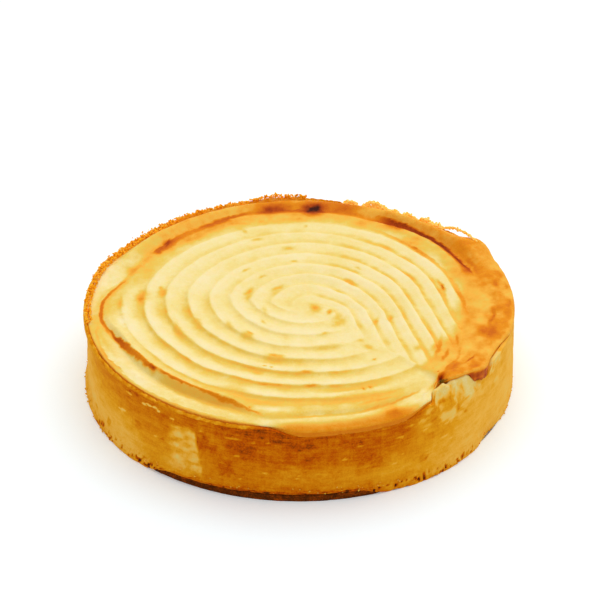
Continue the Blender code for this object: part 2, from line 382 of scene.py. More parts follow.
# How toasted the rim is, by angle
RIM_TONES = (
    (0, 0.54), (15, 0.52), (30, 0.52), (42, 0.48), (55, 0.45), (66, 0.48), (72, 0.6), (79, 0.6), (84, 0.54),
    (90, 0.5), (98, 0.54), (104, 0.48), (108, 0.44), (114, 0.46), (124, 0.5), (134, 0.46), (144, 0.4),
    (150, 0.34), (160, 0.18), (170, 0.14), (182, 0.26), (192, 0.3), (200, 0.2), (208, 0.08), (224, 0.08),
    (232, 0.14), (242, 0.18), (252, 0.18), (262, 0.12), (270, 0.14), (290, 0.2), (300, 0.18), (310, 0.12),
    (314, 0.3), (318, 0.5), (326, 0.6), (334, 0.58), (346, 0.54),
)
# Strokes of browning, and of painted shade in the split at the back right and in the gutter at the left: how
# brown, how far it fades inwards and outwards, and its route of angle, radius and strength
STROKES = (
    # The deep split at the back right, browned and with painted shade inside it, with its dark upper edge,
    # and the smear over it
    (0.86, 6.2, 1.5, ((15, 110.4, 0), (20, 111.4, 0.8), (30, 112.3, 0.95), (44, 113, 0.9), (52, 113.8, 1),
        (60, 114, 1), (64, 113.5, 0.8), (69, 112.4, 0.35), (78, 111, 0.15), (82, 111, 0))),
    (0.92, 2.2, 1.3, ((18, 111.3, 0), (24, 112, 0.8), (36, 112.8, 0.9), (46, 113.4, 0.75), (60, 114, 0.4),
        (64, 113.6, 0))),
    (0.7, 1.6, 1.6, ((16, 114.6, 0), (20, 115.6, 0.7), (25, 116.4, 0.7), (28, 117, 0))),
    # The crease round the back, and the browning inside it
    (0.76, 2.4, 1.5, ((78, 110, 0), (82, 110.4, 0.6), (90, 110.6, 0.9), (96, 111, 0.9), (103, 111, 0.7),
        (105, 111.6, 0.2), (108, 111.8, 0.75), (114, 111.2, 0.9), (118, 110.8, 0.5), (122, 110.6, 0))),
    (0.62, 4.6, 1.6, ((88, 110, 0), (90, 110, 0.8), (100, 110.4, 0.8), (103, 110.4, 0))),
    (0.76, 5.4, 2.4, ((113, 109, 0), (115, 109.4, 0.8), (120, 108.8, 0.95), (126, 108.6, 0.6),
        (132, 108.4, 0.65), (136, 108.4, 0.85), (138, 107.6, 1), (146, 107.4, 1), (148, 107.4, 0))),
    (0.87, 1.6, 1.2, ((136, 111, 0), (137.5, 110, 0.9), (140, 107, 0.95), (142, 104.8, 0.8), (143, 104, 0))),
    (0.5, 4, 2, ((147, 107.6, 0), (150, 107.4, 0.7), (154, 107.4, 0.5), (158, 108.6, 0.8),
        (161, 109, 0.8), (163, 109.2, 0.3), (165, 109.4, 0))),
    # The line that winds out to the left
    (0.48, 6, 1, ((164, 110, 0), (168, 111.6, 0.7), (173, 115.4, 0.8), (178, 118.6, 0.6),
        (186, 118.4, 0.2), (190, 118, 0))),
    (0.68, 1.9, 1.5, ((163, 109.4, 0), (167, 110.4, 0.6), (171, 113, 0.6), (174, 115.6, 0.75),
        (177, 117.7, 0.9), (180, 118.9, 1), (184, 119.5, 1), (188, 119.2, 1), (191, 118.2, 1),
        (194, 116.8, 0.9), (197, 115.8, 0))),
    # The browned crest of the left ridge, wide at first and narrow further on
    (0.77, 1.3, 3, ((188, 118.6, 0), (192, 117.2, 0.7), (195, 115.6, 0.9), (198, 114.2, 1),
        (202, 112.8, 0.95), (206, 111.8, 0.85), (210, 111.2, 0.75), (215, 110.8, 0.7), (219, 111, 0.8),
        (221, 111.2, 0.9), (222.4, 111, 0))),
    (0.7, 1.2, 1.5, ((220, 110.8, 0), (223, 110.4, 0.6), (225, 110.4, 0.9), (231, 110.4, 0.9),
        (236, 110.6, 0.75), (243, 111, 0.75), (250, 112.2, 0.7), (254, 114, 0.6), (258, 117, 0.6),
        (261, 119.6, 0))),
    (0.88, 1.2, 1.6, ((217, 111.4, 0), (219.4, 111.6, 0.5), (220.6, 111.6, 0.9), (222, 111.4, 0))),
    # The gutter below the ridge: yellow, with painted shade where the ridge shades it
    (0.36, 3, 5, ((188, 120, 0), (193, 120, 0.7), (200, 119.4, 0.6), (206, 119, 0.3), (210, 119, 0))),
    (0.14, 1.6, 6, ((190, 118.4, 0), (196, 116.6, 0.5), (206, 114.2, 0.8), (220, 113.2, 0.8),
        (225, 113, 0))),
    (0.37, 1, 6.5, ((223, 112.4, 0), (228, 112, 0.8), (238, 112.2, 0.95), (248, 113.4, 0.95),
        (254, 115.6, 0.8), (260, 121, 0))),
    (0.44, 0.9, 0.9, ((188, 121, 0), (193, 123.6, 0.8), (200, 125.6, 0.5), (206, 126.2, 0.9),
        (213, 125.2, 0.9), (216, 124.6, 0))),
    # Along the wall's bare top at the left
    (0.5, 1.2, 1.6, ((196, 126.6, 0), (204, 126.6, 0.7), (222, 126.6, 0.5), (240, 126.6, 0.7),
        (262, 126.6, 0))),
    # The crease in front, pale pink
    (0.52, 1, 1.6, ((264, 119.6, 0), (269, 117.8, 0.4), (273, 117, 0.7), (279, 116.8, 0.35),
        (287, 117.6, 0.3), (292, 117, 0.7), (299, 116.4, 0.8), (306, 115.4, 0.8), (309, 115, 0))),
    # Grooves that run just inside the rim
    (0.4, 5.5, 3.5, ((244, 105.5, 0), (251, 106, 0.55), (258, 107, 1), (263, 107, 0.8), (267, 106, 0.4),
        (275, 105.6, 0.7), (284, 106, 0.9), (290, 107, 1), (297, 108, 0.7), (303, 109.5, 0))),
    (0.46, 1.4, 1.4, ((287, 112.4, 0), (291, 111.6, 0.7), (296, 112.4, 0.8), (302, 113, 0))),
    (0.36, 3.5, 3.5, ((272, 93, 0), (280, 94, 0.5), (286, 95, 0.9), (296, 96.5, 1), (303, 98, 0))),
    (0.6, 3.4, 0.9, ((-8, 100.6, 0), (-1, 100.4, 0.75), (5, 99.4, 0.6), (12, 98.4, 0.3), (22, 97, 0.35),
        (34, 96.8, 0.6), (42, 97, 0.9), (52, 97.4, 0.6), (60, 98.4, 0.3), (66, 99, 0))),
    # Small marks on the skin at the right
    (0.82, 0.8, 0.8, ((325.5, 119.2, 0), (327.5, 119.2, 0.9), (329, 119, 0.9), (330.5, 118.8, 0))),
    (0.7, 2.2, 1.2, ((347, 116, 0), (350, 117, 0.9), (353, 119, 0.9), (355, 118, 0.5), (358, 117, 0))),
    (0.68, 1.5, 1.5, ((317, 115.6, 0), (320, 113.6, 0.7), (325, 112.6, 0.4), (332, 108, 0.35),
        (336, 106, 0))),
    (0.66, 1.8, 1.8, ((321, 107.5, 0), (324, 105, 0.7), (328, 103, 0.8), (331, 101.6, 0))),
    (0.66, 1.8, 1.8, ((322, 101, 0), (326, 98.4, 0.7), (330, 96, 0.9), (334, 93.6, 0.4), (338, 92, 0))),
    (0.62, 1.2, 1.2, ((332, 106.6, 0), (335, 104, 0.7), (338, 101.6, 0.8), (340, 100, 0))),
    # The end of the seam
    (0.66, 0.9, 0.9, ((311, 123.4, 0), (313, 121.4, 0.8), (315, 118, 1), (316.4, 113, 1), (317, 108, 0.9),
        (317.6, 104, 0))),
)
# Spots: angle, radius, half length round the cake, half width across, how brown
SPOTS = (
    (85.4, 103.6, 6.4, 2.2, 0.44), (85.4, 108, 5, 4.2, 0.8), (85.4, 112.4, 7.8, 5.2, 1.02),
    (98, 112.6, 9.6, 4.2, 0.88), (75.5, 116.5, 7, 5, 0.72), (139, 109, 2.6, 2.6, 0.9),
    (56, 109, 6, 3.4, 0.82), (32, 121, 5, 6, 0.62), (9, 121.5, 5, 2.6, 0.68), (175.5, 95.6, 7.4, 3.4, 0.54),
    (171, 85, 4.4, 2.2, 0.42), (343, 119.6, 6, 3.4, 0.76), (322.5, 116.4, 5.4, 3.4, 0.68),
    (12.2, 89.6, 4, 0.9, 0.84), (16, 89, 3, 0.8, 0.5), (6, 88.6, 6, 1.2, 0.4), (41.6, 97.2, 1.6, 0.8, 0.76),
    (46, 99, 6, 3, 0.46), (256.5, 88.2, 3.4, 0.9, 0.6), (275, 88.6, 3.4, 1, 0.6),
    (292.5, 98, 0.8, 1.8, 0.6), (295, 98, 0.9, 2, 0.6), (296, 126, 7, 4, 0.66), (296, 120, 6, 4, 0.42),
    (186.6, 107.4, 1.4, 1.6, 0.5), (180, 107.6, 4, 1.6, 0.46), (128, 101.6, 4, 3, 0.5),
    (141, 104, 6, 1.4, 0.7), (159, 110, 3.4, 3, 0.5), (113, 95, 2, 3, 0.36), (255.8, 113.4, 0.7, 0.9, 0.66),
    (190, 107.8, 9, 3, 0), (262, 112.6, 9, 2.4, 0.02), (66, 116, 8, 6, 0.42),
)
# The same, about the comb's centre: smears that gathered in the grooves
SMEARS = (
    (249.5, 55.5, 4.6, 2.2, 0.56), (250, 59, 6.4, 3.6, 0.38), (218.6, 44.6, 2.6, 1.3, 0.56),
    (220, 48, 4.4, 3.4, 0.38), (247.5, 68, 1.2, 0.8, 0.5), (251, 67.6, 0.9, 0.8, 0.62),
    (268.6, 68.6, 3, 1.3, 0.6), (305, 67.4, 1.4, 0.9, 0.56), (310, 55, 2.2, 3.4, 0.38),
    (311, 46.6, 2, 1.6, 0.34), (246, 73.6, 3.6, 3.4, 0.4), (209, 31.4, 2.6, 0.9, 0.34),
    (289, 29.6, 3.6, 1.2, 0.34), (284, 44, 9, 2.4, 0.3), (202, 51, 5, 1.8, 0.32), (194, 68.4, 6, 2, 0.38),
    (197, 81.6, 9, 2, 0.42), (228, 76.6, 8, 2.4, 0.32), (207, 80, 8, 2.4, 0.3), (187, 26.6, 4.4, 1.6, 0.3),
    (153, 40.8, 4.4, 1.8, 0.46), (161, 38.4, 4, 1.8, 0.36), (130, 29.6, 4.4, 1.6, 0.46),
    (141, 26.4, 4, 1.4, 0.3), (168.6, 90, 4.4, 1.8, 0.5), (165, 93, 1.6, 1, 0.44),
    (100, 69.4, 4, 2.4, 0.36), (99.5, 54.4, 2, 1.3, 0.36), (132, 57.8, 3, 1, 0.36), (128.6, 45, 3, 1, 0.34),
    (110, 38.6, 1.6, 1.2, 0.34), (112, 86, 3.4, 1.6, 0.36), (114, 98, 1.2, 2.4, 0.36),
    (91, 95.6, 0.9, 1.6, 0.36), (49, 39, 4, 1.8, 0.5), (52, 40, 3, 1.4, 0.46), (29.6, 72, 4, 1.2, 0.48),
    (14.4, 62, 2.4, 1, 0.44), (14.5, 71.6, 3.6, 1.2, 0.38), (-12, 49.8, 3.4, 1.4, 0.48),
    (-19, 42.6, 4.4, 1.4, 0.44), (-34, 78, 3.4, 2.8, 0.36), (-28, 86.6, 6, 2.4, 0.56),
    (48, 61, 4, 1.4, 0.34), (55, 50, 2.4, 1.4, 0.38), (56, 54.6, 2.4, 0.9, 0.36), (70, 51, 5, 1.6, 0.32),
    (43, 82.6, 8, 1, 0.44), (60, 84.6, 9, 1.2, 0.38), (0, 4, 5, 3.4, 0.46), (-20, 13.6, 3, 1.8, 0.5),
    (-30, 20, 4, 2, 0.34), (65, 62, 5, 1.6, 0.32), (-41, 24, 6, 3, 0.34),
)


def by_angle(angle, places):
    """Reads a short list of angle and value at any angle round the cake."""
    at, values = np.array(places, float).T
    return np.interp(angle, at, values, period=360)


def stroke_weight(angle, radius, inwards, outwards, route):
    """How strongly one brush stroke lies on each point."""
    at, line, strength = np.array(route, float).T
    along = (angle - at[0] + 60) % 360 + at[0] - 60
    away = radius - np.interp(along, at, line)
    across = np.where(away < 0, 1 + away / inwards, 1 - away / outwards)
    return smooth(1.5 * across) * np.interp(along, at, strength, left=0, right=0)


def with_spots(tone, angle, radius, spots, uneven):
    """Lays a table of spots over a tone."""
    for at_angle, at_radius, half_length, half_width, brown in spots:
        aside = np.radians(turned_from(angle, at_angle)) * at_radius
        weight = np.exp(-((aside / half_length) ** 2) - ((radius - at_radius) / half_width) ** 2)
        tone = towards(tone, brown, np.minimum(weight * uneven, 1))
    return tone


def groove_tone(points, place, angle, from_centre):
    """Yellow below each crest of the comb, more so towards the front and the rim: partly the custard's own
    colour and partly painted shade on each crest's steep outer face, with a painted highlight along the
    crest.
    """
    past_crest = (place - CREST_SHARE) % 1
    right = sector(angle, -44, 54, 1, 30)
    front = sector(angle, 190, 300, 35, 16)
    back = sector(angle, 62, 160, 30, 25)
    further = smooth((from_centre - 35) / 45)
    # These bands past each crest are partly yellow custard and partly painted shade on the steep face
    wide = smooth((past_crest - 0.02) / 0.08) * (1 - smooth((past_crest - 0.14) / 0.66))
    narrow = smooth(past_crest / 0.1) * (1 - smooth((past_crest - 0.2) / 0.36))
    edge = smooth(past_crest / 0.05) * (1 - smooth((past_crest - 0.06) / 0.14))
    patchy = np.clip(0.85 + 0.5 * noise(points, 11, 31) + 0.3 * noise(points, 4, 32), 0.15, 1.7)
    left = (1 - right) * (1 - 0.8 * back)
    tone = left * (0.1 + 0.14 * further) * wide * (0.4 + 0.6 * patchy)
    tone = tone + (0.12 * front * further + 0.02) * left * edge * patchy
    tone = tone + (right * (0.21 + 0.06 * further) + 0.05 * back) * narrow * patchy
    # A painted highlight just inside each crest
    painted_crest_highlight = -0.025 * band(place, 0.62, 0.78, 0.08)
    return (tone + painted_crest_highlight) * smooth((from_centre - 4) / 16) * (1 - 0.6 * beside_seam(angle, from_centre))


def rim_tone(points, angle, radius, tone):
    """Browns the tone towards the rim, and over it."""
    outside = radius - edge_line(angle)
    patchy = 1 + 0.22 * noise(points, 9, 43) + 0.14 * noise(points, 3, 50)
    reach = 17 + 4 * noise(points, 16, 51) - 4 * sector(angle, 200, 312, 20, 4)
    reach = reach + 9 * sector(angle, 250, 290, 16, 14)
    tone = towards(tone, by_angle(angle, EDGE_TONES) * patchy, 0.9 * smooth((outside + reach) / 11))
    mottled = 0.05 * noise(points, 6, 44) + 0.045 * noise(points, 2.4, 45)
    nearer = sector(angle, 112, 178, 8, 8) * (smooth((5.5 - outside) / 3) - 0.5)
    rim = by_angle(angle, RIM_TONES) + mottled + 0.13 * nearer
    return towards(tone, rim, smooth((outside - 1) / 3.4))


def skin_tone(points, angle, radius, tone):
    """Browns the wide skin on the right in blotches, and the roll at the front towards its lower edge."""
    skin = sector(angle, SEAM_ANGLE, 14, 2, 10)
    blotches = 0.46 + 0.15 * noise(points, 10, 46) + 0.06 * noise(points, 4, 47)
    started = smooth((radius - 92 - 6 * noise(points, 9, 52)) / 12)
    tone = towards(tone, blotches, 0.75 * skin * started)
    worn = skin * smooth((radius - 108) / 8)
    tone = tone + worn * (0.04 + 0.12 * noise(points, 8, 53) + 0.05 * noise(points, 2, 58))
    drape = sector(angle, 267, 300, 6, 7) * smooth((radius - 120.5) / 5)
    tone = towards(tone, 0.27 + 0.33 * smooth((radius - 123) / 5.5), 0.85 * drape)
    pale_edge = band(radius + 0.8 * noise(points, 2.5, 54), lip_radius(angle) - 1.6, 200, 1.6)
    return towards(tone, 0.42, 0.6 * pale_edge * sector(angle, -42, 32, 3, 4))


def filling_tone(points, angle, radius):
    """How toasted each point of the filling's top is, with painted shade in the grooves, the gutter, the
    split and the pocket, and a painted highlight on each crest.
    """
    place, comb_angle, from_centre = comb_lines(points)
    tone = 0.08 + 0.045 * noise(points, 26, 41) + 0.04 * noise(points, 7, 42)
    grooves = groove_tone(points, place, comb_angle, from_centre)
    tone = tone + grooves * smooth((edge_line(angle) - radius - 1) / 6)
    tone = rim_tone(points, angle, radius, tone)
    tone = skin_tone(points, angle, radius, tone)
    ragged = 0.55 * noise(points, 3.2, 48) + 0.3 * noise(points, 1.3, 49)
    for brown, inwards, outwards, route in STROKES:
        tone = towards(tone, brown, stroke_weight(angle, radius + ragged, inwards, outwards, route))
    uneven = np.clip(1 + 0.3 * noise(points, 2.6, 55), 0, 1.2)
    tone = with_spots(tone, angle, radius + ragged, SPOTS, uneven)
    tone = with_spots(tone, comb_angle, from_centre + ragged, SMEARS, uneven)
    # The pocket beside the seam is painted nearly black: painted shade in the hole
    return towards(tone, 1.0, swell(angle, POCKET_ANGLE, 1.9) * band(radius, 115.8, 120.4, 1.4))


# Meshes

def deselect():
    """Leaves edit mode and selects nothing, before each new piece."""
    if bpy.context.mode != "OBJECT":
        bpy.ops.object.mode_set(mode="OBJECT")
    bpy.ops.object.select_all(action="DESELECT")


def spaced(start, end, count):
    """count equal steps from start to end, without the start."""
    return [start + (end - start) * (step + 1) / count for step in range(count)]


def spun(name, profile, steps, closed=False):
    """Draws a profile point by point, spins it round the cake's axis and subdivides it."""
    deselect()
    radius, height = profile[0]
    bpy.ops.mesh.primitive_plane_add(size=MM, location=(radius * MM, 0, height * MM))
    piece = bpy.context.object
    piece.name = piece.data.name = name
    bpy.ops.object.transform_apply(location=True, rotation=False, scale=False)
    bpy.ops.object.mode_set(mode="EDIT")
    bpy.ops.mesh.merge(type="CENTER")
    route = profile + profile[:1] if closed else profile
    for (radius, height), (next_radius, next_height) in zip(route, route[1:]):
        move = ((next_radius - radius) * MM, 0, (next_height - height) * MM)
        bpy.ops.mesh.extrude_vertices_move(TRANSFORM_OT_translate={"value": move})
    bpy.ops.mesh.select_all(action="SELECT")
    bpy.ops.mesh.remove_doubles(threshold=0.01 * MM)
    bpy.ops.mesh.spin(steps=steps, angle=2 * np.pi, center=(0, 0, 0), axis=(0, 0, 1))
    bpy.ops.mesh.select_all(action="SELECT")
    bpy.ops.mesh.remove_doubles(threshold=0.01 * MM)
    bpy.ops.mesh.normals_make_consistent(inside=False)
    bpy.ops.object.mode_set(mode="OBJECT")
    finer = piece.modifiers.new("Finer", "SUBSURF")
    finer.subdivision_type = "SIMPLE"
    finer.levels = finer.render_levels = REFINE_LEVELS
    bpy.ops.object.modifier_apply(modifier=finer.name)
    return piece


def polar(piece, steps):
    """Angle, radius and height of a spun piece's points. It puts points on a chord back on their ring."""
    points = np.empty(len(piece.data.vertices) * 3)
    piece.data.vertices.foreach_get("co", points)
    x, y, z = points.reshape(-1, 3).T / MM
    angle = np.degrees(np.arctan2(y, x))
    half = 180 / steps
    from_middle = angle % (2 * half) - half
    on_ring = np.cos(np.radians(from_middle)) / np.cos(np.radians(half))
    return angle, np.hypot(x, y) * on_ring, z


def cartesian(angle, radius, height):
    """Points from their angle, radius and height."""
    turn = np.radians(angle)
    return np.stack([radius * np.cos(turn), radius * np.sin(turn), height], axis=1)


def place_points(piece, points):
    """Moves a piece's points to new places, in millimetres, and smooths its shading."""
    piece.data.vertices.foreach_set("co", (points * MM).ravel())
    piece.data.update()
    piece.data.shade_smooth()


def paint(piece, name, values):
    """Stores a number for each point, which the material reads by name."""
    layer = piece.data.attributes.new(name, "FLOAT", "POINT")
    layer.data.foreach_set("value", np.asarray(values, np.float32))


def filling_profile():
    """Half the filling's section, with rings that are close together where the rim will be."""
    ridge, crease = EDGE_LINE - RIDGE_INSIDE, EDGE_LINE + CREASE_OUTSIDE
    lip, foot = RIM_RADIUS - RIM_THICK - GAP, BASE_THICK + GAP
    rings = [0.0] + spaced(0, 100, 32) + spaced(100, ridge, 4) + spaced(ridge, crease, 3)
    rings += spaced(crease, lip, 6)
    side = [(lip, LIP_MARK), (lip, TUCK_MARK), (lip - 0.3, LEAN_START)]
    floor = [(FOOT_RADIUS - WALL_THICK - GAP, foot), (0, foot)]
    return [(ring, PLATEAU) for ring in rings] + side + floor


def spread_rings(angle, radius, reach):
    """Moves the profile's rings to where the ridge, the crease and the lip lie at each angle."""
    ridge, crease = EDGE_LINE - RIDGE_INSIDE, EDGE_LINE + CREASE_OUTSIDE
    lip = RIM_RADIUS - RIM_THICK - GAP
    inner, outer = edge_line(angle) - RIDGE_INSIDE, edge_line(angle) + CREASE_OUTSIDE
    cliff = (radius - ridge) / (crease - ridge)
    roll = (radius - crease) / (lip - crease)
    spread = np.where(radius <= ridge, radius * inner / ridge, inner + cliff * (outer - inner))
    return np.where(radius > crease, outer + roll * (reach - outer), spread)


def cheese_filling(settings):
    """The whole filling with its combed top, rim, seam and hanging lip."""
    piece = spun("combed_cheese_filling", filling_profile(), FILLING_STEPS)
    angle, radius, height = polar(piece, FILLING_STEPS)
    bare = 1 - covered(angle)
    reach = lip_radius(angle) + OVERHANG * bare
    spread = spread_rings(angle, radius, reach)
    bent = angle + seam_shift(angle, spread)
    flat = cartesian(angle, spread, np.zeros_like(angle))
    top = filling_height(bent, spread, settings.groove_depth / MM) + top_relief(flat, bent, spread)
    edge_drop = 0.9 - 0.6 * bare
    top = top - edge_drop * (1 - np.sqrt(1 - np.clip((spread - reach) / ROUNDING + 1, 0, 1) ** 2))

    edge_top = lip_height(bent) - edge_drop + 0.2 * noise(flat, 3, 27) * (1 - bare)
    lowest = underside_height(angle) - 0.7 * sector(angle, 260, 300, 6, 7)
    lowest = lowest + 1.3 * notch(angle) * noise(flat, 1.6, 28)
    down = np.clip((PLATEAU - height) / (PLATEAU - LIP_MARK), 0, 1)
    lip_face = towards(edge_top, np.minimum(lowest, edge_top - 0.3), down)
    tuck = np.clip((LIP_MARK - height) / (LIP_MARK - TUCK_MARK), 0, 1)
    body = body_radius(angle)
    below = np.clip((TUCK_MARK - height) / (TUCK_MARK - LEAN_START), 0, 1)
    side_radius = towards(body, RIM_RADIUS - RIM_THICK - GAP - 0.3, below)

    on_top = height > PLATEAU - 0.01
    on_lip = height > LIP_MARK - 0.01
    in_tuck = height > TUCK_MARK - 0.01
    in_side = height > LEAN_START - 0.01
    cases = [on_top, on_lip, in_tuck, in_side]
    side_height = towards(lowest - 0.15, LEAN_START, below)
    new_height = np.select(cases, [top, lip_face, lowest - 0.15 * tuck, side_height], height)
    new_radius = np.select(cases, [spread, reach, towards(reach, body, tuck), side_radius], radius)
    points = cartesian(angle, new_radius, new_height)
    place_points(piece, points)

    browned_edge = smooth((spread - reach) / 1.2 + 1) * bare * (1 - fringe(angle))
    top_tone = towards(filling_tone(flat, bent, spread), 0.48, 0.7 * browned_edge)
    # Under the skin the lip face is painted darker towards its lower edge and darkest in the torn notch:
    # partly dark crumb, partly painted shade under the overhang
    torn = notch(angle)
    gap_shade_tone = 0.6 + (0.2 + 0.2 * noise(points, 1.4, 29)) * torn
    shade_down_lip = smooth(down * (1 + 2.5 * torn)) * right_skin(bent)
    lip_tone = towards(0.5 + 0.14 * front_drape(bent), gap_shade_tone, shade_down_lip)
    # Besides browning, this number holds the painted shade and highlight laid on above
    paint(piece, "toast", np.where(on_top, top_tone, lip_tone))
    return piece


def fringe(angle):
    """Where crumbs stand up along the bare top of the wall."""
    return sector(angle, 92, 185, 8, 4)


def wall_profile():
    """The section of the wall, drawn from the crest down the outside and up the inside."""
    shoulder = WALL_TOP - RIM_CREST
    outside = [(towards(FOOT_RADIUS, RIM_RADIUS + 0.1, share), towards(0.8, LEAN_START, share))
               for share in spaced(1, 0, 11)]
    return [
        (RIM_RADIUS - RIM_THICK / 2, WALL_TOP),
        (RIM_RADIUS, shoulder),
        (RIM_RADIUS + 0.05, (shoulder + LEAN_START) / 2),
        (RIM_RADIUS + 0.1, LEAN_START),
        *outside,
        (FOOT_RADIUS - 0.4, 0),
        (FOOT_RADIUS - WALL_THICK, 0),
        (RIM_RADIUS - RIM_THICK - 0.3, LEAN_START),
        (RIM_RADIUS - RIM_THICK, shoulder),
    ]


def pastry_wall(settings):
    """The shortcrust wall, ragged along its bare top and broken where it leans in."""
    piece = spun("shortcrust_wall", wall_profile(), WALL_STEPS, closed=True)
    angle, radius, height = polar(piece, WALL_STEPS)
    flat = cartesian(angle, radius, height)
    shoulder = WALL_TOP - RIM_CREST
    outer = radius > RIM_RADIUS - 0.3
    above = np.clip((height - LEAN_START) / (shoulder - LEAN_START), 0, 1)
    crest = np.clip((height - shoulder) / RIM_CREST, 0, 1)
    new_height = height - RIM_CREST * crest * covered(angle)
    new_height = new_height + (wall_height(angle) - WALL_TOP) * above
    new_height = new_height + BASE_SHOWS * sector(angle, 236, 284, 10, 10) * smooth((9 - height) / 9)
    ragged = 0.55 * noise(flat, 1.9, 61) + 0.45 * noise(flat, 0.9, 62)
    standing = fringe(angle) * (1.3 + 0.9 * noise(flat, 1.6, 69) + 0.8 * swell(angle, 97, 9))
    raised = settings.crumb_height / MM * (ragged + standing) * (1 - covered(angle))
    new_height = new_height + raised * smooth((height - shoulder + 1.5) / 2)

    outwards = wander(angle, 0.35, 3, 0.4) * (1 - above) + foot_flare(angle) * smooth((13 - height) / 12)
    outwards = outwards - waist(angle) * band(height, 7, 42, 5)
    face = 0.22 * rough(flat, (7, 7, 9), 63) + 0.1 * noise(flat, (1.4, 1.4, 5), 64)
    crumbled = 0.25 + 0.75 * (sector(angle, 204, 230, 4, 4) + sector(angle, 290, 322, 3, 4))
    pitted = smooth((noise(flat, 1.6, 65) - 0.3) / 0.3) * smooth((9 - height) / 6) * crumbled
    new_radius = radius + np.where(outer, outwards + face - 0.4 * pitted, 0) - wall_lean(angle) * above
    place_points(piece, cartesian(angle, new_radius, np.maximum(new_height, 0)))
    paint(piece, "bake_and_shade", wall_bake_and_shade(flat, angle, height, pitted))
    return piece


# How baked the wall is at four heights, by angle: 0 is pale crumb, 0.4 gold, 0.8 orange-brown, 1 black
BAKE_HEIGHTS = (5, 14, 30, 43)
BAKE_LEVELS = (
    ((196, 0.46), (206, 0.54), (214, 0.42), (226, 0.5), (238, 0.62), (250, 0.72), (272, 0.74), (284, 0.72),
        (296, 0.6), (312, 0.48), (324, 0.42), (340, 0.42), (380, 0.46), (450, 0.5), (520, 0.5)),
    ((196, 0.4), (208, 0.41), (220, 0.43), (228, 0.58), (236, 0.58), (246, 0.68), (254, 0.7), (266, 0.68),
        (282, 0.63), (292, 0.58), (304, 0.54), (316, 0.46), (330, 0.44), (345, 0.4), (380, 0.42),
        (450, 0.48)),
    ((196, 0.48), (208, 0.56), (220, 0.62), (228, 0.69), (240, 0.7), (252, 0.75), (258, 0.78), (270, 0.78),
        (288, 0.77), (298, 0.74), (306, 0.62), (320, 0.52), (334, 0.45), (345, 0.44), (380, 0.44),
        (450, 0.5)),
    ((196, 0.56), (208, 0.66), (220, 0.74), (232, 0.75), (244, 0.76), (256, 0.81), (268, 0.81), (280, 0.8),
        (292, 0.78), (300, 0.74), (308, 0.62), (320, 0.54), (332, 0.5), (345, 0.46), (380, 0.46),
        (450, 0.5)),
)
# The pale panel on the wall, by angle
PANEL_START = 234
PANEL_END = 243
# Patches on the wall: angle, height, half length, half height, how baked
BAKE_PATCHES = (
    (245, 33, 4, 8, 0.81), (247.5, 28, 3, 6, 0.77), (251.5, 18, 6, 7, 0.81), (256.5, 33, 8, 7, 0.82),
    (256, 22, 4, 5, 0.74), (249.6, 30, 4, 5, 0.74), (264, 16, 9, 6, 0.68), (268, 19, 8, 5, 0.64),
    (276, 15, 16, 6, 0.66), (284, 38, 9, 3.4, 0.83), (287, 27, 6, 5, 0.8), (290.5, 21, 3.6, 4, 0.77),
    (279, 26, 3, 3, 0.74), (272, 38, 8, 3, 0.84), (303.5, 15, 4.4, 2.4, 0.73), (224.4, 26, 3.4, 4.4, 0.75),
    (223, 46.6, 4.4, 2, 0.8), (210.6, 11, 2.2, 3, 0.63), (202, 11, 3, 1.4, 0.58),
    (260.8, 43.6, 1.4, 0.9, 0.92), (252, 42, 2, 1.1, 0.88), (266, 41.2, 6, 1.3, 0.87),
    (232.6, 25, 1.2, 0.8, 0.83), (207, 5, 3, 2, 0.8),
    # Pale mottled scars beside the seam
    (312.3, 37, 8, 4.6, 0.26), (309.6, 43.6, 3, 2, 0.36), (311.5, 50, 10, 5, 0.14), (316.4, 50, 8, 6, 0.14),
    (320.6, 46, 9, 7, 0.14), (318, 38, 4, 3, 0.36), (316, 33.6, 4, 2.4, 0.42), (323.4, 39, 6, 3, 0.4),
    (333.6, 49, 9, 5, 0.2), (334.2, 36, 3.6, 3, 0.3), (326.6, 36.6, 4, 2, 0.42), (305.6, 46, 4, 3, 0.45),
    (303.6, 41, 4, 1.6, 0.46), (304.8, 36.4, 4, 1.2, 0.46), (310.6, 45.6, 3.4, 0.9, 0.74),
    (306.6, 45, 2, 2, 0.74), (315.6, 38.4, 1.6, 3, 0.7), (313.2, 45, 1.4, 1.1, 0.74),
    (318.4, 33, 1.8, 0.9, 0.7), (307, 39, 3, 2, 0.72),
    # Pale specks and short scratches
    (216.6, 28.4, 3, 0.9, 0.2), (217.8, 29.6, 2.4, 0.7, 0.2), (220.5, 44.4, 3, 0.8, 0.42),
    (226.4, 43.3, 2.2, 0.8, 0.2), (228.2, 44.6, 2.6, 0.9, 0.16), (230.2, 45.4, 2.4, 1.1, 0.14),
    (231.4, 43.8, 1.4, 1.1, 0.16), (236.2, 42, 2, 0.8, 0.26), (230.2, 24.5, 1.6, 0.6, 0.36),
    (237.2, 25.2, 1.4, 1.2, 0.2), (244.6, 40.6, 2.4, 0.7, 0.48), (254.2, 28.6, 1.3, 0.5, 0.46),
    (254.8, 12.8, 1, 0.5, 0.42), (253, 40, 4, 0.5, 0.54), (258, 39.6, 4, 0.5, 0.6),
    (262.4, 40.4, 2.2, 0.6, 0.5), (261.5, 19.2, 1.5, 0.6, 0.34), (270.2, 18.4, 1.3, 0.5, 0.42),
    (269.6, 16, 1.3, 0.5, 0.36), (274.6, 15.6, 1.2, 0.4, 0.5), (281.8, 27.6, 1.2, 1, 0.48),
    (278, 38.6, 3, 0.6, 0.6), (285.5, 35, 3, 0.5, 0.56), (297.4, 35, 3.6, 0.6, 0.42),
    (304.6, 34, 3.4, 0.6, 0.4), (295, 18, 1.6, 0.7, 0.4), (297.6, 23, 1.4, 0.6, 0.4),
    (310.6, 24, 3.2, 0.8, 0.36), (313, 20, 2.4, 0.7, 0.34), (300.4, 40.6, 3, 0.7, 0.46),
)


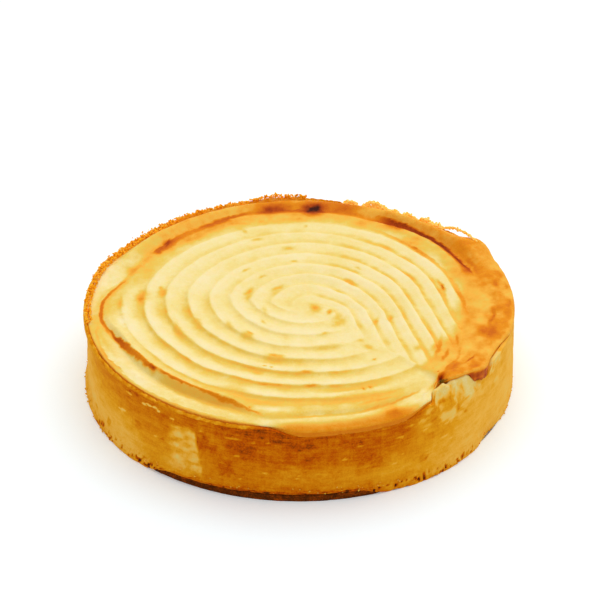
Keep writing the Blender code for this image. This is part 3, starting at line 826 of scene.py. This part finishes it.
def wall_bake_and_shade(points, angle, height, pitted):
    """How baked the pastry is at each point of the wall, with painted shade along the foot and in the dents.
    """
    bake_and_shade = by_angle(angle, BAKE_LEVELS[0])
    for start, end, level in zip(BAKE_HEIGHTS, BAKE_HEIGHTS[1:], BAKE_LEVELS[1:]):
        bake_and_shade = towards(bake_and_shade, by_angle(angle, level), np.clip((height - start) / (end - start), 0, 1))
    scratches = noise(points, (7, 7, 0.9), 71) * (0.03 + 0.02 * smooth((height - 26) / 14))
    brushed = noise(points, (0.9, 0.9, 14), 72) * 0.03 * sector(angle, 246, 296, 14, 24)
    patches = 0.035 * noise(points, (14, 14, 7), 73) + 0.04 * noise(points, (5, 5, 3), 74)
    bake_and_shade = bake_and_shade + scratches + brushed + patches

    # The pale panel at the left front, which ends at the strip's upright seam
    seam = PANEL_END + 0.07 * (38 - height) + 0.35 * noise(points, (40, 40, 3), 75)
    panel = smooth((seam - angle % 360) / 0.5)
    panel = panel * smooth((angle % 360 - PANEL_START - noise(points, 5, 78)) / 3)
    panel = panel * smooth((39.5 - height + noise(points, 3, 79)) / 2) * smooth((height - 7) / 5)
    mottled = 0.41 + 0.22 * noise(points, (5, 5, 2), 76) + 0.12 * noise(points, 1.5, 77)
    bake_and_shade = towards(bake_and_shade, mottled, 0.85 * panel)

    torn = 0.5 * noise(points, (2.8, 2.8, 2), 80) + 0.3 * noise(points, 1.2, 66)
    flecked = 0.06 * noise(points, (3, 3, 2), 88) + 0.05 * noise(points, 1.2, 89)
    for at_angle, at_height, half_length, half_height, baked in BAKE_PATCHES:
        aside = np.radians(turned_from(angle, at_angle)) * RIM_RADIUS / half_length
        weight = smooth((1.15 - np.hypot(aside, (height - at_height) / half_height) + torn) / 0.6)
        bake_and_shade = towards(bake_and_shade, baked + flecked, 0.8 * weight)

    crumbly = smooth((12 - height) / 8) * (0.07 * noise(points, 1.3, 67) + 0.04 * noise(points, 3, 68))
    # The lowest few millimetres are painted darker: partly browned pastry, partly painted shade where the
    # wall meets the floor
    browned_and_shaded_foot = 0.08 * sector(angle, 205, 318, 6, 6) * smooth((5 - height) / 4)
    # The dents are painted darker too: browned crumb, with painted shade in them
    bake_and_shade = bake_and_shade + crumbly + browned_and_shaded_foot + 0.38 * pitted
    crumbs = 0.62 - 0.14 * fringe(angle) + 0.12 * noise(points, 1.4, 90) + 0.06 * noise(points, 5, 87)
    return towards(bake_and_shade, crumbs, smooth((height - WALL_TOP + 2) / 1.2) * (1 - covered(angle)))


def pastry_base():
    """The round base, seen as a dark band where the wall is lifted off it at the front."""
    inside = FOOT_RADIUS - WALL_THICK - GAP
    profile = [(inside * share, BASE_THICK) for share in (0, 0.6, 0.9, 1)]
    profile += [(inside, BASE_THICK / 2), (inside, 0), (inside * 0.9, 0), (0, 0)]
    piece = spun("browned_base", profile, BASE_STEPS)
    angle, radius, height = polar(piece, BASE_STEPS)
    flat = cartesian(angle, radius, height)
    out = BASE_SPREAD * sector(angle, 230, 290, 6, 6) + 0.15 * noise(flat, 2.5, 81)
    place_points(piece, cartesian(angle, radius + out * smooth((radius - inside + 6) / 6), height))
    paint(piece, "bake_and_shade", 0.92 + 0.04 * noise(flat, 4, 82))
    return piece


# Crumbs

def scattered(name, places, seed):
    """Copies one lumpy crumb to each angle, radius, height and size, turned its own way, and joins them."""
    deselect()
    bpy.ops.mesh.primitive_ico_sphere_add(subdivisions=1, radius=MM)
    pattern = bpy.context.object
    pattern.name = pattern.data.name = name
    lumps = np.random.default_rng(seed)
    for vertex in pattern.data.vertices:
        vertex.co *= lumps.uniform(0.65, 1.25)
    copies = [pattern]
    for _ in places[1:]:
        copy = pattern.copy()
        copy.data = pattern.data.copy()
        bpy.context.scene.collection.objects.link(copy)
        copies.append(copy)
    turns = np.random.default_rng(seed + 1)
    for copy, (angle, radius, height, size) in zip(copies, places):
        turn = Matrix.Rotation(turns.uniform(0, 6.3), 4, Vector(turns.normal(size=3)))
        flat = Matrix.Diagonal((size, size, size * turns.uniform(0.6, 1), 1))
        place = Vector((radius * np.cos(np.radians(angle)), radius * np.sin(np.radians(angle)), height))
        copy.data.transform(Matrix.Translation(place * MM) @ flat @ turn)
        copy.select_set(True)
    bpy.context.view_layer.objects.active = pattern
    bpy.ops.object.join()
    pattern.data.shade_smooth()
    return pattern


# Clusters of crumbs that stand on the wall at the back right: angle, half width in degrees, height
CRUMB_CLUSTERS = (
    (75, 2, 2), (67.5, 4, 4.6), (61.5, 3, 3), (57, 3, 4.4), (51.3, 3.2, 5), (47.4, 2.4, 3.4),
)


def fringe_crumbs(settings):
    """The ragged fringe of crumbs that stands up along the bare top of the wall."""
    pick = np.random.default_rng(91)
    places = []
    for angle in np.arange(88, 189, FRINGE_STEP):
        aside = angle + pick.uniform(-0.15, 0.15)
        peaks = 0.5 + 0.3 * np.sin(angle * 1.9) + 0.2 * np.sin(angle * 4.3 + 1)
        tall = 1.4 + 1.5 * peaks + 2.2 * swell(angle, 97, 10)
        at_left = sector(angle, 140, 190, 20, 2)
        wide = 1.4 + 2.2 * at_left
        waves = np.sin(angle * 1.1) + np.sin(angle * 2.7 + 2) + 0.6 * np.sin(angle * 6.1)
        spur = at_left * smooth((waves - 0.5) / 0.8)
        for _ in range(HANDFUL):
            inwards = pick.uniform(0, 0.4) if pick.uniform() < 0.65 else pick.uniform(0.7, 1)
            radius = RIM_RADIUS - 0.5 - inwards * wide - 0.6 * at_left + spur * pick.uniform(0, 1.3)
            rise = pick.uniform(-0.4, 1) * tall + spur * pick.uniform(0, 1.1)
            height = wall_height(angle) + rise * settings.crumb_height / MM
            places.append((aside, radius, height, pick.uniform(0.5, 1.0) * (1 - 0.12 * at_left)))
    return scattered("fringe_crumbs", places, 92)


def clustered_crumbs():
    """Fluffy clusters of crumbs on the wall at the back right, and an arch of them to the corner."""
    pick = np.random.default_rng(93)
    places = []
    for middle, width, tall in CRUMB_CLUSTERS:
        for _ in range(int(CLUSTER_DENSITY * width * tall)):
            aside = pick.uniform(-1, 1)
            angle = middle + aside * width
            radius = RIM_RADIUS - 1.2 + pick.normal() * 0.7
            rise = pick.uniform(-0.1, 1) * tall * (1 - aside * aside)
            height = max(wall_height(angle), lip_height(angle) - 1.2) + rise
            places.append((angle, radius, height, pick.uniform(0.6, 1.15)))
    for angle in np.arange(31, 47, ARCH_STEP):
        radius = RIM_RADIUS - 0.4 + pick.normal() * 0.25
        arch = 0.8 + 3.0 * np.sin(np.pi * (angle - 31) / 16)
        height = lip_height(angle) - 1.0 + arch + pick.normal() * 0.4
        places.append((angle, radius, height, pick.uniform(0.5, 0.95)))
    return scattered("clustered_crumbs", places, 94)


def foot_crumbs():
    """Loose crumbs stuck along the foot of the wall, and along its raised edge at the front."""
    pick = np.random.default_rng(95)
    places = []
    for _ in range(FOOT_CRUMBS):
        angle = pick.uniform(0, 360)
        height = 0.6 + 5 * pick.uniform() ** 2
        flare = foot_flare(angle) * smooth((13 - height) / 12)
        radius = FOOT_RADIUS + flare + pick.uniform(-0.5, 0.2)
        height = height + 4.6 * sector(angle, 229, 291, 8, 8)
        places.append((angle, radius, height, pick.uniform(0.3, 0.7)))
    return scattered("foot_crumbs", places, 96)


# Materials

def linear(colour):
    """An sRGB hex colour as linear red, green, blue and alpha."""
    parts = [int(colour[at:at + 2], 16) / 255 for at in (0, 2, 4)]
    return *(part / 12.92 if part <= 0.04045 else ((part + 0.055) / 1.055) ** 2.4 for part in parts), 1.0


def add_node(tree, kind, inputs=(), **settings):
    """Adds a node, sets its properties, and fills or links its inputs by name or number."""
    node = tree.nodes.new(kind)
    for name, value in settings.items():
        setattr(node, name, value)
    for socket, value in dict(inputs).items():
        if isinstance(value, bpy.types.NodeSocket):
            tree.links.new(value, node.inputs[socket])
        else:
            node.inputs[socket].default_value = value
    return node


def blank_material(name, roughness, gloss):
    """A material with its shader and the piece's own coordinates."""
    material = bpy.data.materials.new(name)
    material.use_nodes = True
    tree = material.node_tree
    shader = tree.nodes["Principled BSDF"]
    shader.inputs["Roughness"].default_value = roughness
    shader.inputs["Specular IOR Level"].default_value = gloss
    place = add_node(tree, "ShaderNodeTexCoord").outputs["Object"]
    return material, tree, shader, place


def spread_colours(tree, factor, stops):
    """A colour ramp of positions and linear colours."""
    ramp = add_node(tree, "ShaderNodeValToRGB", {"Fac": factor})
    elements = ramp.color_ramp.elements
    while len(elements) < len(stops):
        elements.new(0.5)
    for element, (position, colour) in zip(elements, stops):
        element.position = position
        element.color = colour
    return ramp.outputs["Color"]


def cloudy(tree, where, cell, detail):
    """Noise whose lumps are about one cell across, in millimetres."""
    inputs = {"Vector": where, "Scale": 1 / (cell * MM), "Detail": detail}
    return add_node(tree, "ShaderNodeTexNoise", inputs).outputs["Fac"]


def jittered(tree, place, attribute, cell, amount, fine, streaks):
    """The painted number plus layers of noise, so that its colour has grain. Streaks run round the cake."""
    painted = add_node(tree, "ShaderNodeAttribute", attribute_name=attribute).outputs["Fac"]
    stretch = {"Vector": place, "Scale": (0.14, 0.14, 1.0)}
    level = add_node(tree, "ShaderNodeMapping", stretch).outputs["Vector"]
    for where, width, size in ((place, cell, amount), (place, cell / 4, fine), (level, 1.1, streaks)):
        inputs = {0: cloudy(tree, where, width, detail=3), 1: 0.5}
        centred = add_node(tree, "ShaderNodeMath", inputs, operation="SUBTRACT").outputs[0]
        inputs = {0: centred, 1: size, 2: painted}
        painted = add_node(tree, "ShaderNodeMath", inputs, operation="MULTIPLY_ADD").outputs[0]
    return painted


def relief(tree, shader, place, cell, height):
    """A fine bump of the given cell and height in millimetres."""
    inputs = {"Height": cloudy(tree, place, cell, detail=4), "Distance": height * MM}
    bump = add_node(tree, "ShaderNodeBump", inputs)
    tree.links.new(bump.outputs["Normal"], shader.inputs["Normal"])


def let_light_in(shader, share, reach):
    """Lets a share of the light in, and red, green and blue travel this far under the surface, in mm."""
    shader.inputs["Subsurface Weight"].default_value = share
    shader.inputs["Subsurface Radius"].default_value = [length * MM for length in reach]
    shader.inputs["Subsurface Scale"].default_value = 1.0


def baked_cheese(settings):
    """Baked cream cheese custard: moist and slightly see-through where pale, drier where it browned."""
    material, tree, shader, place = blank_material("baked_cream_cheese", roughness=0.55, gloss=0.06)
    # The toast number holds browning and also painted shade and highlight
    toast = jittered(tree, place, "toast", cell=3.2, amount=0.12, fine=0.12, streaks=0)
    stops = ((0, settings.cream), (0.14, settings.custard), (0.3, settings.yellow), (0.42, settings.amber),
             (0.56, settings.orange), (0.7, settings.toasted), (0.84, settings.brown), (1, settings.scorched))
    tree.links.new(spread_colours(tree, toast, stops), shader.inputs["Base Color"])
    let_light_in(shader, share=0.15, reach=(4, 2, 0.8))
    relief(tree, shader, place, cell=0.9, height=0.16)
    return material


def shortcrust(name, settings):
    """Shortcrust pastry pressed against a tin: dull, finely crumbed, browner where it met hot metal."""
    material, tree, shader, place = blank_material(name, roughness=0.75, gloss=0.02)
    # The bake number holds browning, and also painted shade at the wall's foot and in its dents
    bake_and_shade = jittered(tree, place, "bake_and_shade", cell=3.6, amount=0.12, fine=0.17, streaks=0.12)
    stops = ((0.05, settings.crumb), (0.25, settings.pale), (0.42, settings.gold), (0.56, settings.honey),
             (0.7, settings.copper), (0.82, settings.umber), (0.92, settings.dark), (1.0, settings.burnt))
    tree.links.new(spread_colours(tree, bake_and_shade, stops), shader.inputs["Base Color"])
    relief(tree, shader, place, cell=settings.grain / MM, height=0.2)
    return material


def crumb_gold(name, colours, glow):
    """Loose baked crumbs: dry, matt and golden, with a painted glow: they emit a little light of their own
    colour, which lifts their shaded sides.
    """
    material, tree, shader, place = blank_material(name, roughness=0.75, gloss=0.02)
    clouds = cloudy(tree, place, cell=2.5, detail=2)
    mottled = spread_colours(tree, clouds, list(zip((0.35, 0.5, 0.7), colours)))
    tree.links.new(mottled, shader.inputs["Base Color"])
    # Painted glow: the crumbs give off their own colour, though they are no lamp
    tree.links.new(mottled, shader.inputs["Emission Color"])
    shader.inputs["Emission Strength"].default_value = glow
    let_light_in(shader, share=0.5, reach=(2, 1.3, 0.6))
    return material


def matt_paper(glow):
    """Matt white paper, lit a little from within so that it stays white in the cake's soft shadow."""
    material, _, shader, _ = blank_material("matt_white_paper", roughness=0.9, gloss=0.1)
    shader.inputs["Base Color"].default_value = linear("e9f2f5")
    shader.inputs["Emission Color"].default_value = linear("ffffff")
    shader.inputs["Emission Strength"].default_value = glow
    return material


# Settings

def colour_setting(name, description, colour):
    """A colour to choose, from its sRGB hex value."""
    return bpy.props.FloatVectorProperty(
        name=name, description=description, default=linear(colour), size=4, min=0, max=1, subtype="COLOR")


def size_setting(name, description, size):
    """A length to choose, from its value in millimetres."""
    return bpy.props.FloatProperty(
        name=name, description=description, default=size * MM, min=0, unit="LENGTH", subtype="DISTANCE")


def strength_setting(name, description, strength):
    """The strength of a light to choose."""
    return bpy.props.FloatProperty(name=name, description=description, default=strength, min=0)


def angle_setting(name, description, degrees):
    """An angle to choose, up to a quarter turn."""
    return bpy.props.FloatProperty(
        name=name, description=description, default=np.radians(degrees), min=0, max=np.pi / 2,
        unit="ROTATION", subtype="ANGLE")


class CHEESECAKE_PG_filling(bpy.types.PropertyGroup):
    """Sizes and colours of the filling."""

    groove_depth: size_setting("Groove depth", "From a crest of the comb to its groove", 1.3)
    cream: colour_setting("Cream", "Palest custard", "f8e6b0")
    custard: colour_setting("Custard", "Most of the combed top", "f3dc8d")
    yellow: colour_setting("Yellow", "Grooves of the comb", "ebc554")
    amber: colour_setting("Amber", "Where the top began to toast", "f5b340")
    orange: colour_setting("Orange", "Toasted skin", "ea8f0e")
    toasted: colour_setting("Toasted", "Well toasted skin", "d76e08")
    brown: colour_setting("Brown", "Brown spots and the crease", "b44604")
    scorched: colour_setting("Scorched", "Darkest spots", "42160a")


class CHEESECAKE_PG_pastry(bpy.types.PropertyGroup):
    """Sizes and colours of the pastry."""

    crumb_height: size_setting("Crumb height", "How ragged the bare top of the wall is", 1.1)
    grain: size_setting("Grain", "Size of the pastry's grain", 0.8)
    crumb: colour_setting("Crumb", "Broken pastry", "f0e0a8")
    pale: colour_setting("Pale", "Pastry that hardly coloured", "ecc868")
    gold: colour_setting("Gold", "Sides of the wall", "f6b846")
    honey: colour_setting("Honey", "Warmer gold", "eca218")
    copper: colour_setting("Copper", "Front of the wall", "da7e04")
    umber: colour_setting("Umber", "Darkest part of the front", "c25200")
    dark: colour_setting("Dark", "Underside and pits", "6a3008")
    burnt: colour_setting("Burnt", "Deepest pits", "2e1406")
    loose: colour_setting("Loose crumbs", "Crumbs along the top of the wall", "ffae1c")
    fluffy: colour_setting("Fluffy crumbs", "Crumbs clustered at the back", "f8d070")


class CHEESECAKE_PG_stage(bpy.types.PropertyGroup):
    """Floor, lights and camera."""

    floor_radius: size_setting("Floor radius", "Half the width of the floor", 7000)
    distance: size_setting("Distance", "From the camera to the point it looks at", 1810.16)
    aim_height: size_setting("Aim height", "Height of the point that the camera looks at", 54.36)
    aim_side: size_setting("Aim side", "How far to the right the camera looks", 0.77)
    elevation: angle_setting("Elevation", "How steeply the camera looks down", 32.66)
    softness: angle_setting("Softness", "How wide the light above is, seen from the cake", 80)
    lens: bpy.props.FloatProperty(
        name="Lens", description="Focal length in millimetres", default=180, min=10, unit="CAMERA")
    overhead: strength_setting("Overhead light", "Strength of the wide light above", 1.7)
    room: strength_setting("Room light", "Strength of the white room round the cake", 0.55)
    floor_glow: strength_setting("Floor glow", "How much the paper floor is lit from within", 0.19)


# Operators

def finish_piece(piece, material, node):
    """Gives a piece its material, body and slot. It stands for the construction's node, if one is named."""
    piece.data.materials.clear()
    piece.data.materials.append(material)
    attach(piece, "root")
    if node:
        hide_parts(node)


class CHEESECAKE_OT_filling(bpy.types.Operator):
    """Model the combed cheese filling"""

    bl_idname = "cheesecake.filling"
    bl_label = "Cheese filling"

    def execute(self, context):
        settings = context.scene.cheesecake_filling
        material = baked_cheese(settings)
        finish_piece(cheese_filling(settings), material, "cheese_filling")
        return {"FINISHED"}


class CHEESECAKE_OT_wall(bpy.types.Operator):
    """Model the shortcrust wall"""

    bl_idname = "cheesecake.wall"
    bl_label = "Pastry wall"

    def execute(self, context):
        settings = context.scene.cheesecake_pastry
        material = shortcrust("golden_shortcrust", settings)
        finish_piece(pastry_wall(settings), material, "pastry_wall")
        return {"FINISHED"}


class CHEESECAKE_OT_base(bpy.types.Operator):
    """Model the shortcrust base"""

    bl_idname = "cheesecake.base"
    bl_label = "Pastry base"

    def execute(self, context):
        settings = context.scene.cheesecake_pastry
        material = shortcrust("browned_shortcrust", settings)
        finish_piece(pastry_base(), material, "pastry_base")
        return {"FINISHED"}


class CHEESECAKE_OT_crumbs(bpy.types.Operator):
    """Model the crumbs on the rim and at the foot"""

    bl_idname = "cheesecake.crumbs"
    bl_label = "Crumbs"

    def execute(self, context):
        settings = context.scene.cheesecake_pastry
        # The golden and pale crumbs get a painted glow, the browned ones none
        colours = settings.copper, settings.loose, settings.gold
        golden = crumb_gold("golden_crumbs", colours, glow=0.14)
        colours = settings.gold, settings.fluffy, settings.loose
        pale = crumb_gold("pale_crumbs", colours, glow=0.2)
        colours = settings.copper, settings.gold, settings.honey
        browned = crumb_gold("browned_crumbs", colours, glow=0)
        finish_piece(fringe_crumbs(settings), golden, None)
        finish_piece(clustered_crumbs(), pale, None)
        finish_piece(foot_crumbs(), browned, None)
        return {"FINISHED"}


def add_light(name, aside, behind, strength, softness):
    """A wide soft light high above the cake, moved aside and behind it by shares of its height."""
    deselect()
    bpy.ops.object.light_add(type="SUN", location=(aside, behind, 1.0))
    light = bpy.context.object
    light.name = name
    light.data.angle = softness
    light.data.energy = strength
    light.rotation_euler = Vector((-aside, -behind, -1.0)).to_track_quat("-Z", "Y").to_euler()


class CHEESECAKE_OT_stage(bpy.types.Operator):
    """Set the floor, the lights and the camera"""

    bl_idname = "cheesecake.stage"
    bl_label = "Floor, lights and camera"

    def execute(self, context):
        settings = context.scene.cheesecake_stage
        deselect()
        bpy.ops.mesh.primitive_circle_add(vertices=96, radius=settings.floor_radius, fill_type="NGON")
        floor = context.object
        floor.name = "pale_floor"
        floor.data.materials.append(matt_paper(settings.floor_glow))

        add_light("overhead", 0.15, 0.35, settings.overhead, settings.softness)
        world = bpy.data.worlds.new("soft_white_room")
        world.use_nodes = True
        walls = world.node_tree.nodes["Background"].inputs
        walls["Color"].default_value = linear("ffffff")
        walls["Strength"].default_value = settings.room
        context.scene.world = world
        context.scene.view_settings.view_transform = "Standard"

        camera = bpy.data.cameras.new("camera")
        camera.lens = settings.lens
        camera.sensor_width = SENSOR_WIDTH
        camera.clip_end = FAR_END
        viewer = bpy.data.objects.new("camera", camera)
        context.scene.collection.objects.link(viewer)
        target = Vector((settings.aim_side, 0, settings.aim_height))
        rise = settings.elevation
        viewer.location = target + settings.distance * Vector((0, -np.cos(rise), np.sin(rise)))
        viewer.rotation_euler = (target - viewer.location).to_track_quat("-Z", "Y").to_euler()
        context.scene.camera = viewer
        return {"FINISHED"}


class CHEESECAKE_PT_sidebar(bpy.types.Panel):
    """Lists the steps of the cheesecake"""

    bl_label = "Baked cheesecake"
    bl_idname = "CHEESECAKE_PT_sidebar"
    bl_space_type = "VIEW_3D"
    bl_region_type = "UI"
    bl_category = "Cheesecake"

    def draw(self, context):
        for operator in OPERATORS:
            self.layout.operator(operator.bl_idname)
        for group in SETTINGS:
            for name in group.__annotations__:
                self.layout.prop(getattr(context.scene, SETTINGS[group]), name)


SETTINGS = {
    CHEESECAKE_PG_filling: "cheesecake_filling",
    CHEESECAKE_PG_pastry: "cheesecake_pastry",
    CHEESECAKE_PG_stage: "cheesecake_stage",
}
OPERATORS = (
    CHEESECAKE_OT_base, CHEESECAKE_OT_wall, CHEESECAKE_OT_filling, CHEESECAKE_OT_crumbs, CHEESECAKE_OT_stage,
)
CLASSES = (*SETTINGS, *OPERATORS, CHEESECAKE_PT_sidebar)


def register():
    for each in CLASSES:
        bpy.utils.register_class(each)
    for group, name in SETTINGS.items():
        setattr(bpy.types.Scene, name, bpy.props.PointerProperty(type=group))


def unregister():
    for name in SETTINGS.values():
        delattr(bpy.types.Scene, name)
    for each in reversed(CLASSES):
        bpy.utils.unregister_class(each)


def main():
    register()
    bpy.ops.cheesecake.base()
    bpy.ops.cheesecake.wall()
    bpy.ops.cheesecake.filling()
    bpy.ops.cheesecake.crumbs()
    bpy.ops.cheesecake.stage()


if __name__ == "__main__":
    main()
